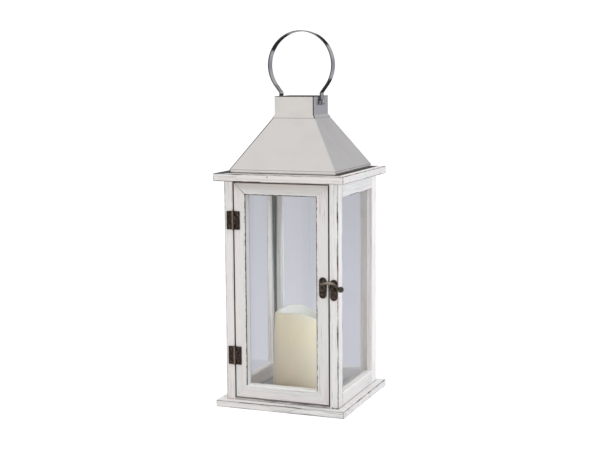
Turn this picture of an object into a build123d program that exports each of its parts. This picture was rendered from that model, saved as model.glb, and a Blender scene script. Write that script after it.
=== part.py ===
"""A wooden candle lantern with a hinged glass door, a folded steel roof and a strap handle.

Millimetres. +X is to the right of somebody who faces the door, -Y is the door side, +Z is up.
The origin is the middle of the underside of the base slab.
"""
from build123d import *
import math
import os

# ---------------------------------------------------------------- driving dimensions
slab_side = 170.0            # base slab and top slab, square
base_thick = 8.5
top_thick = 9.6
body_side = 149.0            # outside of the timber frames, square
body_top = 285.0             # underside of the top slab

frame_thick = 11.0           # side frames and back frame
side_stile = 16.3            # width of a side frame's stile, along Y
back_stile = 8.7             # width of a back frame's stile, along X
bottom_rail = 17.1           # height of the frames' bottom rails
top_rail = 18.3
glass_thick = 2.0
groove_wide = 2.2            # groove that holds a pane
groove_deep = 5.0
pane_in_groove = 4.0
groove_setback = 7.2         # outer face of a frame to its groove
back_groove_deep = 4.0       # the back frame's grooves are shallower
dowel_radius = 2.5
slab_ease = 1.1              # rounding of the slabs' edges
ease = 0.7                   # rounding of the timber's edges

door_half = 61.8             # half the door's width
door_low = 12.4
door_high = 282.5
door_thick = 14.0
door_stile = 15.4
mitre_ease = 0.25            # small bevel along the mitred corners
door_bottom_rail = 16.0
door_top_rail = 14.5
rebate_wide = 5.0            # rebate behind the door's opening, for its pane
threshold_high = 2.3

roof_half = 69.7             # half the roof's width at its skirt
skirt_high = 3.8
sheet = 0.6                  # steel sheet of the roof and chimney
crease_z = 364.5             # where the roof meets the chimney
chimney_half = 26.2
chimney_top = 387.5
vent_radius = 25.0           # hole through the top slab, under the chimney
roof_corner = 1.8            # rounding of the skirt's corners

ring_radius = 42.4           # middle of the handle's strap
ring_centre_z = 426.0
strap_thick = 1.2
strap_wide = 11.6
strap_turn = 37.0            # degrees below level where the strap leaves its circle
strap_lean = 7.0             # degrees that its ends lean out from the chimney
pivot_z = 380.8
rivet_radius = 1.6
rivet_seat = chimney_half + 3.2   # under the rivets' outer heads

hinge_high = 23.0
hinge_centres = (65.3, 236.0)
leaf_thick = 1.0
knuckle_radius = 1.7
pin_radius = 0.8
pin_x = -62.65
end_knuckle = 6.2            # height of the top and bottom knuckle
leaf_far = {-1: -71.5, 1: -53.9}   # outer edge of the post's leaf and of the door's leaf

plate_wide = 9.8             # latch plates, with round ends
plate_high = 26.0
door_plate = (55.0, 157.9)   # x and z of the plates' middles
post_plate = (69.1, 155.7)
stud_place = (69.1, 157.4)
stud_radius = 1.7
pivot_radius = 1.4
hook_thick = 2.2
hook_ease = 0.6              # rounding of the cast hook's front edges
knob_radius = 3.7
knob_place = (79.6, 158.1)
arm_wide = 3.4
arm_bends = ((58.6, 163.6), (64.6, 164.4), (70.2, 162.9), (73.8, 159.8), (74.8, 156.2))

candle_x = -1.7              # the candle stands a little to the left of the middle
candle_low_radius = 38.0
candle_high_radius = 34.0
candle_shoulder = 109.0      # height at which the candle has its upper radius
candle_peak = 114.5          # height of the rim's crest above the ground
rim_arch_radius = 52.0       # the rim is cut to an arch of this radius
rim_crest_offset = -10.8     # the crest is this far to the left of the candle's axis
rim_turn = 21.3              # degrees that the arch is turned about the candle's axis
recess_radius = 28.3
recess_floor = 86.0
box_top = 61.6               # top of the battery box
cell_circle = 8.6            # middles of the three cells from the candle's axis
cell_low = 13.0
cell_high = 56.7
switch_y = -27.4

# ---------------------------------------------------------------- values that follow
half_body = body_side / 2
half_slab = slab_side / 2
inner_face = half_body - frame_thick
stile_inner = half_body - side_stile
rail_top = base_thick + bottom_rail
rail_under = body_top - top_rail
slab_top = body_top + top_thick
door_front = -half_body
door_back = door_front + door_thick
opening_half = door_half - door_stile
opening_low = door_low + door_bottom_rail
opening_high = door_high - door_top_rail
back_edge = inner_face - back_stile
pin_y = door_front - knuckle_radius - 0.05
hook_back = door_front - leaf_thick - 0.2
hook_front = hook_back - hook_thick
knob_centre = (knob_place[0], door_front - leaf_thick - knob_radius - 0.3, knob_place[1])
flange_low = base_thick + 1.0      # flange of the candle's battery box
flange_high = flange_low + 2.0
upright = (Align.CENTER, Align.CENTER, Align.MIN)
skirt_top = slab_top + skirt_high
sheet_level = sheet / math.sin(math.atan2(crease_z - skirt_top, roof_half - chimney_half))


# ---------------------------------------------------------------- helpers
def block(x0, x1, y0, y1, z0, z1):
    """A rectangular block between two corners."""
    middle = Pos((x0 + x1) / 2, (y0 + y1) / 2, (z0 + z1) / 2)
    return middle * Box(abs(x1 - x0), abs(y1 - y0), abs(z1 - z0))


def timber(x0, x1, y0, y1, z0, z1, grain):
    """A piece of timber whose edges along the grain are rounded over."""
    piece = block(x0, x1, y0, y1, z0, z1)
    return fillet(piece.edges().filter_by(grain), ease)


def rod(radius, start, end):
    """A round bar from one point to another."""
    run = Vector(*end) - Vector(*start)
    plane = Plane(origin=start, z_dir=run)
    return plane * Cylinder(radius, run.length, align=upright)


def screw(place, towards, head_radius, head_high, shank_radius, length, sunk=True, slot=True):
    """A wood screw. Its head's top is at place, and its point lies towards the given direction."""
    if sunk:
        head = Cone(head_radius, shank_radius, head_high, align=upright)
    else:
        head = Cylinder(head_radius, head_high, align=upright)
        head = fillet(head.edges().sort_by(Axis.Z)[0], head_high * 0.6)
    shank = Pos(0, 0, head_high) * Cylinder(shank_radius, length - head_high - 2, align=upright)
    point = Pos(0, 0, length - 2) * Cone(shank_radius, 0.3, 2, align=upright)
    solid = head + shank + point
    if slot:
        arm = Box(head_radius * 1.3, 0.5, 0.9)
        solid = solid - arm - Rot(0, 0, 90) * arm
    return Plane(origin=place, z_dir=towards) * solid


def cut_all(piece, tools):
    """Cut every tool out of a piece."""
    for tool in tools:
        piece = piece - tool
    return piece


def front_plate(points_centre, wide, high, y_back, thick):
    """A plate with round ends that lies on a front face."""
    plane = Plane(origin=(points_centre[0], y_back, points_centre[1]), x_dir=(1, 0, 0), z_dir=(0, -1, 0))
    shape = plane * (Rot(0, 0, 90) * SlotOverall(high, wide))
    plate = extrude(shape, thick, dir=(0, -1, 0))
    return fillet(plate.faces().sort_by(Axis.Y)[0].edges(), 0.35)


# ---------------------------------------------------------------- slabs and their fixings
def stile_centres():
    """x and y of the middles of the four side stiles."""
    x = half_body - frame_thick / 2
    y = half_body - side_stile / 2
    return [(sx * x, sy * y) for sx in (-1, 1) for sy in (-1, 1)]


def base_screws(slot=True):
    """Four screws that come up through the base slab into the side frames' stiles."""
    return [screw((x, y, 0), (0, 0, 1), 3.4, 2.6, 1.6, 32.0, slot=slot) for x, y in stile_centres()]


def top_dowels():
    """Four beech dowels that pin the top slab to the stiles."""
    low, high = body_top - 9.0, body_top + 5.0
    return [rod(dowel_radius, (x, y, low), (x, y, high)) for x, y in stile_centres()]


def roof_screw_places():
    return [(sx * 59.5, sy * 40.0, body_top - 1.6) for sx in (-1, 1) for sy in (-1, 1)]


def roof_screws(slot=True):
    """Pan-head screws from inside the chamber, up through the top slab into the roof's flange."""
    return [screw(p, (0, 0, 1), 2.6, 1.6, 1.3, 14.0, sunk=False, slot=slot) for p in roof_screw_places()]


def stop_screws(slot=True):
    """Two screws that hold the door stop up against the top slab."""
    return [screw((x, -57.2, body_top - 6.0), (0, 0, 1), 2.4, 1.8, 1.2, 13.0, slot=slot) for x in (-35, 35)]


def base_slab():
    slab = block(-half_slab, half_slab, -half_slab, half_slab, 0, base_thick)
    slab = fillet(slab.edges(), slab_ease)
    return cut_all(slab, base_screws(False))


def top_slab():
    slab = block(-half_slab, half_slab, -half_slab, half_slab, body_top, slab_top)
    slab = fillet(slab.edges(), slab_ease)
    vent = rod(vent_radius, (0, 0, body_top - 1), (0, 0, slab_top + 1))
    return cut_all(slab - vent, top_dowels() + roof_screws(False) + stop_screws(False))


def threshold():
    """The thin strip that closes the gap under the door."""
    top = base_thick + threshold_high
    return timber(-inner_face, inner_face, door_front, door_back, base_thick, top, Axis.X)


def door_stop():
    """The batten under the top slab that the door closes against."""
    stop = timber(-52, 52, door_back + 0.5, door_back + 6.5, body_top - 6, body_top, Axis.X)
    return cut_all(stop, stop_screws(False))


# ---------------------------------------------------------------- side frames and back frame
def side_groove(y0, y1, z0, z1):
    """The groove in the right side frame that a pane and the rails' tongues sit in."""
    outer = half_body - groove_setback
    return block(outer - groove_wide, outer, y0, y1, z0, z1)


def side_stiles():
    """Front and back stile of the right side frame."""
    stiles = []
    for sign in (-1, 1):
        y_edge, y_out = sign * stile_inner, sign * half_body
        stile = timber(inner_face, half_body, y_edge, y_out, base_thick, body_top, Axis.Z)
        stile = stile - side_groove(y_edge - sign, y_edge + sign * groove_deep, base_thick, body_top)
        stiles.append(cut_all(stile, base_screws(False) + top_dowels()))
    return stiles


def side_rails():
    """Bottom and top rail of the right side frame, with tongues that fit the stiles' grooves."""
    rails = []
    tongue = groove_deep - 0.2
    outer = half_body - groove_setback
    for z0, z1, lip in ((base_thick, rail_top, rail_top), (rail_under, body_top, rail_under)):
        rail = timber(inner_face, half_body, -stile_inner, stile_inner, z0, z1, Axis.Y)
        for sign in (-1, 1):
            y0, y1 = sign * (stile_inner - 1), sign * (stile_inner + tongue)
            rail = rail + block(outer - groove_wide, outer, y0, y1, z0 + 1, z1 - 1)
        rail = rail - side_groove(-half_body, half_body, lip - groove_deep, lip + groove_deep)
        rails.append(rail)
    return rails


def side_pane():
    outer = half_body - groove_setback - (groove_wide - glass_thick) / 2
    reach = stile_inner + pane_in_groove
    low, high = rail_top - pane_in_groove, rail_under + pane_in_groove
    return block(outer - glass_thick, outer, -reach, reach, low, high)


def back_groove(x0, x1, z0, z1):
    outer = half_body - groove_setback
    return block(x0, x1, outer - groove_wide, outer, z0, z1)


def back_stiles():
    """Left and right stile of the back frame, which stands between the side frames."""
    stiles = []
    for sign in (-1, 1):
        x_edge = sign * back_edge
        stile = timber(x_edge, sign * inner_face, inner_face, half_body, base_thick, body_top, Axis.Z)
        groove_end = x_edge + sign * back_groove_deep
        stiles.append(stile - back_groove(x_edge - sign, groove_end, base_thick, body_top))
    return stiles


def back_rails():
    rails = []
    tongue = back_groove_deep - 0.2
    outer = half_body - groove_setback
    for z0, z1, lip in ((base_thick, rail_top, rail_top), (rail_under, body_top, rail_under)):
        rail = timber(-back_edge, back_edge, inner_face, half_body, z0, z1, Axis.X)
        for sign in (-1, 1):
            x0, x1 = sign * (back_edge - 1), sign * (back_edge + tongue)
            rail = rail + block(x0, x1, outer - groove_wide, outer, z0 + 1, z1 - 1)
        rail = rail - back_groove(-half_body, half_body, lip - back_groove_deep, lip + back_groove_deep)
        rails.append(rail)
    return rails


def back_pane():
    outer = half_body - groove_setback - (groove_wide - glass_thick) / 2
    reach = back_edge + back_groove_deep - 0.8
    low, high = rail_top - back_groove_deep + 0.8, rail_under + back_groove_deep - 0.8
    return block(-reach, reach, outer - glass_thick, outer, low, high)


# ---------------------------------------------------------------- door
def door_splines():
    """Plywood keys set across the door's four mitres, out of sight."""
    keys = []
    y = door_front + 6.0
    for sx in (-1, 1):
        for corner_z, inner_z in ((door_low, opening_low), (door_high, opening_high)):
            x = sx * (door_half - door_stile / 2)
            z = (corner_z + inner_z) / 2
            turn = 45 if sx * (corner_z - inner_z) > 0 else -45
            keys.append(Pos(x, y, z) * Rot(0, turn, 0) * Box(9.0, 1.6, 9.0))
    return keys


def clip_places():
    """x, z and turn of the clips that hold the door's pane in its rebate."""
    side = opening_half + rebate_wide
    places = [(sx * side, z, 0) for sx in (-1, 1) for z in (62.0, 234.0)]
    return places + [(0, opening_low - rebate_wide, 90), (0, opening_high + rebate_wide, 90)]


def pane_clips():
    """Six small steel plates that each lie half on the timber and half on the glass."""
    clips = []
    for x, z, turn in clip_places():
        clip = Box(8.0, 0.8, 6.0)
        clip = fillet(clip.edges().filter_by(Axis.Y), 1.2)
        clips.append(Pos(x, door_back + 0.4, z) * Rot(0, turn, 0) * clip)
    return cut_all_from_each(clips, clip_screws(False))


def clip_screws(slot=True):
    screws = []
    for x, z, turn in clip_places():
        dx = math.copysign(2.0, x) if turn == 0 else 0.0
        dz = 0.0 if turn == 0 else math.copysign(2.0, z - 148.0)
        place = (x + dx, door_back + 1.6, z + dz)
        screws.append(screw(place, (0, -1, 0), 1.7, 0.8, 0.9, 8.0, sunk=False, slot=slot))
    return screws


def cut_all_from_each(pieces, tools):
    return [cut_all(piece, tools) for piece in pieces]


def door_outlines():
    """The mitred outline of each door member, in X and Z."""
    corners = {}
    for side in (-1, 1):
        corners[side, "low"] = ((side * door_half, door_low), (side * opening_half, opening_low))
        corners[side, "high"] = ((side * door_half, door_high), (side * opening_half, opening_high))
    ends = {
        "door_left_stile": (corners[-1, "low"], corners[-1, "high"]),
        "door_right_stile": (corners[1, "low"], corners[1, "high"]),
        "door_bottom_rail": (corners[-1, "low"], corners[1, "low"]),
        "door_top_rail": (corners[-1, "high"], corners[1, "high"]),
    }
    return {name: [first[0], first[1], second[1], second[0]] for name, (first, second) in ends.items()}


def door_members():
    """The door's two stiles and two rails, mitred at the corners and rebated for the pane."""
    reach = opening_half + rebate_wide
    low, high = opening_low - rebate_wide, opening_high + rebate_wide
    rebate = block(-reach, reach, door_back - glass_thick - 0.05, door_back + 1, low, high)
    tools = door_splines() + clip_screws(False) + hinge_screws(1, False) + latch_screws(door_plate, False)
    tools = [rebate, latch_pivot(False)] + tools
    plane = Plane(origin=(0, door_back, 0), x_dir=(1, 0, 0), z_dir=(0, -1, 0))
    members = {}
    for name, outline in door_outlines().items():
        member = extrude(plane * make_face(Polyline(*outline, close=True)), door_thick, dir=(0, -1, 0))
        grain = Axis.Z if name.endswith("stile") else Axis.X
        front_edges = member.faces().sort_by(Axis.Y)[0].edges()
        long_edges = front_edges.filter_by(grain)
        member = chamfer([edge for edge in front_edges if edge not in long_edges], mitre_ease)
        long_edges = member.faces().sort_by(Axis.Y)[0].edges().filter_by(grain)
        member = fillet(long_edges, ease)
        members[name] = cut_all(member, tools)
    return members


def door_pane():
    gap = 0.3
    reach = opening_half + rebate_wide - gap
    low, high = opening_low - rebate_wide + gap, opening_high + rebate_wide - gap
    return block(-reach, reach, door_back - glass_thick, door_back, low, high)


# ---------------------------------------------------------------- hinges
def hinge_screws(side, slot=True):
    """Four countersunk screws: two through each leaf on one side of the pins."""
    x = (leaf_far[side] + pin_x + side * knuckle_radius) / 2
    front = door_front - leaf_thick
    places = [(x, front, centre + dz) for centre in hinge_centres for dz in (-7.2, 7.2)]
    return [screw(p, (0, 1, 0), 1.8, 1.1, 0.9, 9.0, slot=slot) for p in places]


def hinge_leaf(centre, side):
    """One leaf. The post's leaf has the middle knuckle, and the door's leaf has the other two."""
    low, high = centre - hinge_high / 2, centre + hinge_high / 2
    first, last = low + end_knuckle, high - end_knuckle
    gap = 0.12
    if side < 0:
        spans = [(first + gap, last - gap)]
        bore = pin_radius
    else:
        spans = [(low, first - gap), (last + gap, high)]
        bore = pin_radius + 0.05
    near = pin_x + side * (knuckle_radius + 0.35)
    plate = block(near, leaf_far[side], door_front - leaf_thick, door_front, low, high)
    far_edges = plate.edges().filter_by(Axis.Y).group_by(Axis.X)[0 if side < 0 else -1]
    plate = fillet(far_edges, 0.8)
    for z0, z1 in spans:
        plate = plate + block(pin_x, near + side * 0.5, door_front - leaf_thick, door_front, z0, z1)
        plate = plate + rod(knuckle_radius, (pin_x, pin_y, z0), (pin_x, pin_y, z1))
    plate = plate - rod(bore, (pin_x, pin_y, low - 1), (pin_x, pin_y, high + 1))
    return cut_all(plate, hinge_screws(side, False))


def hinge_pins():
    """A headed pin for each hinge."""
    pins = []
    for centre in hinge_centres:
        low, high = centre - hinge_high / 2 - 0.6, centre + hinge_high / 2 + 0.1
        pin = rod(pin_radius, (pin_x, pin_y, low), (pin_x, pin_y, high))
        pins.append(pin + rod(1.3, (pin_x, pin_y, high), (pin_x, pin_y, high + 0.7)))
    return pins


# ---------------------------------------------------------------- latch
def latch_screws(centre, slot=True):
    """Two flush screws through a latch plate."""
    front = door_front - leaf_thick
    places = [(centre[0], front, centre[1] + dz) for dz in (-9, 9)]
    return [screw(place, (0, 1, 0), 1.8, 1.1, 0.9, 8.0, slot=slot) for place in places]


def latch_plate(centre):
    plate = front_plate(centre, plate_wide, plate_high, door_front, leaf_thick)
    return cut_all(plate, latch_screws(centre, False))


def latch_pivot(with_head=True):
    """The rivet that the hook turns on."""
    x, z = door_plate
    shank = rod(pivot_radius, (x, door_front + 6, z), (x, hook_front - 0.1, z))
    if not with_head:
        return shank
    head = rod(2.7, (x, hook_front - 0.1, z), (x, hook_front - 1.3, z))
    return shank + fillet(head.edges().sort_by(Axis.Y)[0], 0.9)


def latch_stud():
    """The plain stud on the post that the hook drops over."""
    x, z = stud_place
    stud = rod(stud_radius, (x, door_front + 5, z), (x, hook_front - 0.8, z))
    return fillet(stud.edges().sort_by(Axis.Y)[0], 0.5)


def latch_hook():
    """The swinging hook: a round root, an arm that arches down over the stud, a spur and a ball knob."""
    plane = Plane(origin=(0, hook_back, 0), x_dir=(1, 0, 0), z_dir=(0, -1, 0))
    px, pz = door_plate
    root = Pos(px, pz) * Circle(4.3)
    arm = trace(Spline((px - 2.2, pz + 3.9), *arm_bends), arm_wide)
    heel = Pos(px - 2.0, pz + 3.4) * Circle(2.4)
    spur = Pos(64.3, 160.3) * (Rot(0, 0, 90) * SlotOverall(6.4, 1.9))
    shape = root + arm + heel + spur
    hook = extrude(plane * shape, hook_thick, dir=(0, -1, 0))
    hook = fillet(hook.faces().sort_by(Axis.Y)[0].edges(), hook_ease)
    middle = (hook_back + hook_front) / 2
    neck = rod(1.35, (74.2, middle, 158.4), knob_centre)
    ball = Pos(*knob_centre) * Sphere(knob_radius)
    hook = hook + neck + ball
    return hook - rod(pivot_radius + 0.05, (px, hook_back + 1, pz), (px, hook_front - 1, pz))


# ---------------------------------------------------------------- roof, chimney and handle
def square(half, corner, z):
    return Pos(0, 0, z) * RectangleRounded(2 * half, 2 * half, corner)


def pyramid(inset):
    """The roof's solid body, every face moved in by the same level distance."""
    low = square(roof_half - inset, roof_corner, skirt_top)
    high = square(chimney_half - sheet_level - inset, 1.0, crease_z)
    return loft([low, high])


def roof():
    """Folded sheet: a short upright skirt, four sloping faces and an inward flange on the slab."""
    skirt = extrude(square(roof_half, roof_corner, slab_top), skirt_high)
    skirt_hollow = extrude(square(roof_half - sheet_level, 1.2, slab_top - 1), skirt_high + 1)
    body = (skirt + pyramid(0)) - skirt_hollow - pyramid(sheet_level)
    flange = extrude(square(roof_half - 0.2, 1.6, slab_top), sheet)
    flange = flange - extrude(square(56.0, 2.0, slab_top - 1), sheet + 2)
    body = body + flange
    lap = block(51.6, 52.6, -roof_half - 1, -roof_half + 0.35, slab_top - 1, slab_top + 2.2)
    return cut_all(body - lap, roof_screws(False))


def chimney():
    """Folded sheet collar with a hemmed top, an open corner seam and four tabs on the roof."""
    wall = extrude(square(chimney_half, 1.2, crease_z), chimney_top - crease_z)
    wall = wall - extrude(square(chimney_half - sheet, 0.7, crease_z - 1), chimney_top - crease_z + 2)
    hem = extrude(square(chimney_half - 0.1, 1.1, chimney_top - 4.0), 4.0)
    hem = hem - extrude(square(chimney_half - 2 * sheet, 0.5, chimney_top - 5.0), 6.0)
    tab_low = crease_z - 3.6
    slope = (roof_half - chimney_half + sheet_level) / (crease_z - skirt_top)
    run = slope * (crease_z - tab_low)
    outer = loft([square(chimney_half + run, 1.0, tab_low), square(chimney_half, 1.0, crease_z)])
    body = (wall + hem) + (outer - pyramid(0))
    for turn in (45, 135, 225, 315):
        slit = block(chimney_half, 60, -0.35, 0.35, tab_low - 1, crease_z - 0.6)
        body = body - Rot(0, 0, turn) * slit
    seam = block(chimney_half - 1.2, chimney_half + 3, -chimney_half - 3, -chimney_half + 1.2, 340, 400)
    seam = seam & block(0, 60, -60, 0, crease_z - 0.4, 400)
    return body - seam - rod(rivet_radius, (-40, 0, pivot_z), (40, 0, pivot_z))


def strap_path():
    """The middle line of the handle's strap, in X and Z, from one end up and over to the other."""
    turn = math.radians(strap_turn)
    lean = math.radians(strap_lean)
    leave = (ring_radius * math.cos(turn), ring_centre_z - ring_radius * math.sin(turn))
    leg_x = chimney_half + 0.15 + strap_thick / 2
    bend = (leg_x, leave[1] - (leave[0] - leg_x) / math.tan(turn))
    end_z = pivot_z - 4.7
    end = (leg_x + (bend[1] - end_z) * math.tan(lean), end_z)
    return leave, bend, end


def handle_ring():
    """A flat strap bent to a ring, with its two ends turned down beside the chimney."""
    leave, bend, end = strap_path()
    arc = ThreePointArc((-leave[0], leave[1]), (0, ring_centre_z + ring_radius), leave)
    right = FilletPolyline(leave, bend, end, radius=3.0)
    left = FilletPolyline((-end[0], end[1]), (-bend[0], bend[1]), (-leave[0], leave[1]), radius=3.0)
    shape = trace(left + arc + right, strap_thick)
    plane = Plane(origin=(0, strap_wide / 2, 0), x_dir=(1, 0, 0), z_dir=(0, -1, 0))
    strap = extrude(plane * shape, strap_wide, dir=(0, -1, 0))
    return strap - rod(rivet_radius + 0.05, (-40, 0, pivot_z), (40, 0, pivot_z))


def handle_rivets():
    """Two domed rivets that the strap turns on."""
    rivets = []
    for sign in (-1, 1):
        inner = sign * (chimney_half - sheet)
        shank = rod(rivet_radius, (inner, 0, pivot_z), (sign * rivet_seat, 0, pivot_z))
        tail = rod(2.3, (inner - sign, 0, pivot_z), (inner, 0, pivot_z))
        dome = rod(2.9, (sign * rivet_seat, 0, pivot_z), (sign * (rivet_seat + 1.7), 0, pivot_z))
        dome = fillet(dome.edges().sort_by(Axis.X)[-1 if sign > 0 else 0], 1.5)
        rivets.append(shank + tail + dome)
    return rivets


def rivet_washers():
    """Spacers between the chimney and the strap."""
    washers = []
    for sign in (-1, 1):
        start, end = (sign * chimney_half, 0, pivot_z), (sign * (chimney_half + 0.8), 0, pivot_z)
        hole = rod(rivet_radius, (0, 0, pivot_z), (sign * 40, 0, pivot_z))
        washers.append(rod(3.4, start, end) - hole)
    return washers


# ---------------------------------------------------------------- candle
def candle_shell():
    """Wax-look shell: a tapered pillar whose rim is cut to a slanting arch round a deep recess."""
    blank_high = 113.5
    taper = (candle_low_radius - candle_high_radius) / (candle_shoulder - base_thick)
    top_radius = candle_low_radius - taper * blank_high
    pillar = Pos(0, 0, base_thick) * Cone(candle_low_radius, top_radius, blank_high, align=upright)
    pillar = fillet(pillar.edges().sort_by(Axis.Z)[0], 1.2)
    arch = Rot(90, 0, 0) * Cylinder(rim_arch_radius, 120)
    arch = Pos(rim_crest_offset, 0, candle_peak - rim_arch_radius) * arch
    pillar = pillar & (Rot(0, 0, rim_turn) * (arch + block(-60, 60, -60, 60, 0, 70)))
    recess = Pos(0, 0, recess_floor) * Cone(recess_radius - 1.5, recess_radius + 1.0, 40, align=upright)
    cavity = Pos(0, 0, base_thick - 1) * Cylinder(26.0, 72.0 - base_thick + 1, align=upright)
    socket = Pos(0, 0, base_thick - 1) * Cylinder(31.0, 8.5, align=upright)
    stem_hole = Pos(0, 0, 70) * Cylinder(3.0, 20, align=upright)
    return pillar - recess - cavity - socket - stem_hole


def flame_tip():
    """Clear plastic flame whose stem takes the light up from the LED."""
    stem = Pos(0, 0, 73.0) * Cylinder(2.9, recess_floor - 73.0, align=upright)
    profile = Polyline((0, recess_floor), (4.4, recess_floor)) + Spline(
        (4.4, recess_floor), (5.2, recess_floor + 4), (3.2, recess_floor + 11), (0, recess_floor + 17))
    profile = profile + Line((0, recess_floor + 17), (0, recess_floor))
    flame = revolve(make_face(Plane.XZ * profile), Axis.Z)
    return stem + flame


def candle_led():
    body = Pos(0, 0, 62.8) * Cylinder(2.5, 5.6, align=upright)
    rim = Pos(0, 0, 62.8) * Cylinder(2.9, 1.0, align=upright)
    return body + rim + Pos(0, 0, 68.4) * Sphere(2.5)


def circuit_board():
    board = Pos(0, 0, box_top) * Cylinder(11.0, 1.2, align=upright)
    parts = [Pos(x, y, box_top + 1.9) * Box(3.0, 2.0, 1.4) for x, y in ((6, 3), (-6, -3), (5, -5))]
    for part in parts:
        board = board + part
    return board


def battery_box():
    """The plastic insert: a flange in the shell's foot and a cup for the cells."""
    flange = Pos(0, 0, flange_low) * Cylinder(30.8, flange_high - flange_low, align=upright)
    cup = Pos(0, 0, flange_high) * Cylinder(24.0, box_top - flange_high, align=upright)
    hollow = Pos(0, 0, flange_low - 1) * Cylinder(18.0, flange_high - flange_low + 2, align=upright)
    inner = Pos(0, 0, flange_high) * Cylinder(22.4, box_top - 1.6 - flange_high, align=upright)
    slot = block(-4.6, 4.6, switch_y - 1.3, switch_y + 1.3, flange_low - 1, flange_high + 1)
    lug = block(16.5, 22.8, -3, 3, flange_high, flange_high + 5)
    body = (flange + cup) - hollow - inner - slot + lug
    return body - cover_screw(False)


def battery_cover():
    cover = Pos(0, 0, flange_low) * Cylinder(17.7, 1.8, align=upright)
    ear = block(15, 21.6, -2.8, 2.8, flange_low - 0.9, flange_low)
    return (cover + ear) - cover_screw(False)


def cover_screw(slot=True):
    return screw((19.4, 0, flange_low - 0.9), (0, 0, 1), 1.6, 0.8, 0.8, 6.5, slot=slot)


def cell_places():
    """x and y of the three cells' middles."""
    angles = [math.radians(30 + 120 * number) for number in range(3)]
    return [(cell_circle * math.cos(angle), cell_circle * math.sin(angle)) for angle in angles]


def batteries():
    """Three AAA cells, standing in a triangle."""
    cells = []
    for x, y in cell_places():
        can = Pos(x, y, cell_low) * Cylinder(5.25, cell_high - cell_low, align=upright)
        nub = Pos(x, y, cell_high) * Cylinder(1.9, 0.8, align=upright)
        cells.append(fillet(can.edges(), 0.4) + nub)
    return cells


def battery_contacts():
    """Sprung plate over the cells and flat plate under them."""
    upper = Pos(0, 0, cell_high + 1.3) * Cylinder(15.5, 0.4, align=upright)
    lower = Pos(0, 0, cell_low - 0.8) * Cylinder(15.5, 0.4, align=upright)
    for x, y in cell_places():
        upper = upper + Pos(x, y, cell_high + 0.8) * Cylinder(2.2, 0.5, align=upright)
        lower = lower + Pos(x, y, cell_low - 0.4) * Cylinder(3.4, 0.4, align=upright)
    return [upper, lower]


def candle_switch():
    """The slide switch's knob, in its slot under the candle."""
    knob = block(-4.2, -0.2, switch_y - 1.0, switch_y + 1.0, flange_low - 0.6, flange_high + 0.3)
    plate = block(-5.4, 1.0, switch_y - 1.8, switch_y + 1.8, flange_high + 0.3, flange_high + 1.3)
    return knob + plate


# ---------------------------------------------------------------- all pieces
def moved(shape, x):
    """A solid or a list of solids, moved to the right."""
    if isinstance(shape, list):
        return [Pos(x, 0, 0) * piece for piece in shape]
    return Pos(x, 0, 0) * shape


def make_parts():
    """Every piece of the lantern by node name: one solid, or a list of like solids."""
    right_front, right_back = side_stiles()
    right_bottom, right_top = side_rails()
    pane = side_pane()
    right_front = cut_all(right_front, latch_screws(post_plate, False) + [latch_stud()])
    left_front = mirror(side_stiles()[0], Plane.YZ)
    left_front = cut_all(left_front, hinge_screws(-1, False))
    back_left, back_right = back_stiles()
    back_bottom, back_top = back_rails()
    parts = {
        "base_slab": base_slab(),
        "base_screws": base_screws(),
        "threshold_strip": threshold(),
        "right_front_stile": right_front,
        "right_back_stile": right_back,
        "right_bottom_rail": right_bottom,
        "right_top_rail": right_top,
        "right_pane": pane,
        "left_front_stile": left_front,
        "left_back_stile": mirror(right_back, Plane.YZ),
        "left_bottom_rail": mirror(right_bottom, Plane.YZ),
        "left_top_rail": mirror(right_top, Plane.YZ),
        "left_pane": mirror(pane, Plane.YZ),
        "back_left_stile": back_left,
        "back_right_stile": back_right,
        "back_bottom_rail": back_bottom,
        "back_top_rail": back_top,
        "back_pane": back_pane(),
        "top_slab": top_slab(),
        "top_dowels": top_dowels(),
        "door_stop": door_stop(),
        "door_stop_screws": stop_screws(),
        "roof": roof(),
        "roof_screws": roof_screws(),
        "chimney": chimney(),
        "handle_ring": handle_ring(),
        "handle_rivets": handle_rivets(),
        "rivet_washers": rivet_washers(),
        "door_splines": door_splines(),
        "door_pane": door_pane(),
        "pane_clips": pane_clips(),
        "pane_clip_screws": clip_screws(),
        "upper_hinge_post_leaf": hinge_leaf(hinge_centres[1], -1),
        "upper_hinge_door_leaf": hinge_leaf(hinge_centres[1], 1),
        "lower_hinge_post_leaf": hinge_leaf(hinge_centres[0], -1),
        "lower_hinge_door_leaf": hinge_leaf(hinge_centres[0], 1),
        "hinge_pins": hinge_pins(),
        "hinge_post_screws": hinge_screws(-1),
        "hinge_door_screws": hinge_screws(1),
        "latch_door_plate": latch_plate(door_plate) - latch_pivot(False),
        "latch_door_screws": latch_screws(door_plate),
        "latch_pivot": latch_pivot(),
        "latch_hook": latch_hook(),
        "latch_post_plate": latch_plate(post_plate) - latch_stud(),
        "latch_post_screws": latch_screws(post_plate),
        "latch_stud": latch_stud(),
        "candle_shell": candle_shell(),
        "candle_flame_tip": flame_tip(),
        "candle_led": candle_led(),
        "candle_circuit_board": circuit_board(),
        "candle_battery_box": battery_box(),
        "candle_battery_cover": battery_cover(),
        "candle_cover_screw": cover_screw(),
        "candle_batteries": batteries(),
        "candle_battery_contacts": battery_contacts(),
        "candle_switch": candle_switch(),
    }
    parts.update(door_members())
    for name in [name for name in parts if name.startswith("candle_")]:
        parts[name] = moved(parts[name], candle_x)
    return parts


def main():
    os.makedirs("parts", exist_ok=True)
    for name, shape in make_parts().items():
        if isinstance(shape, list):
            shape = Compound(children=list(shape))
        export_step(shape, f"parts/{name}.step")


main()
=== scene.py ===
"""Looks of the candle lantern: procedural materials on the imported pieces, a pale studio and the camera.

Metres, in the row's own frame: +Z is up, -Y is the door side, and the base slab stands on Z = 0.
"""
import bpy
import math
from mathutils import Matrix, Vector


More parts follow.
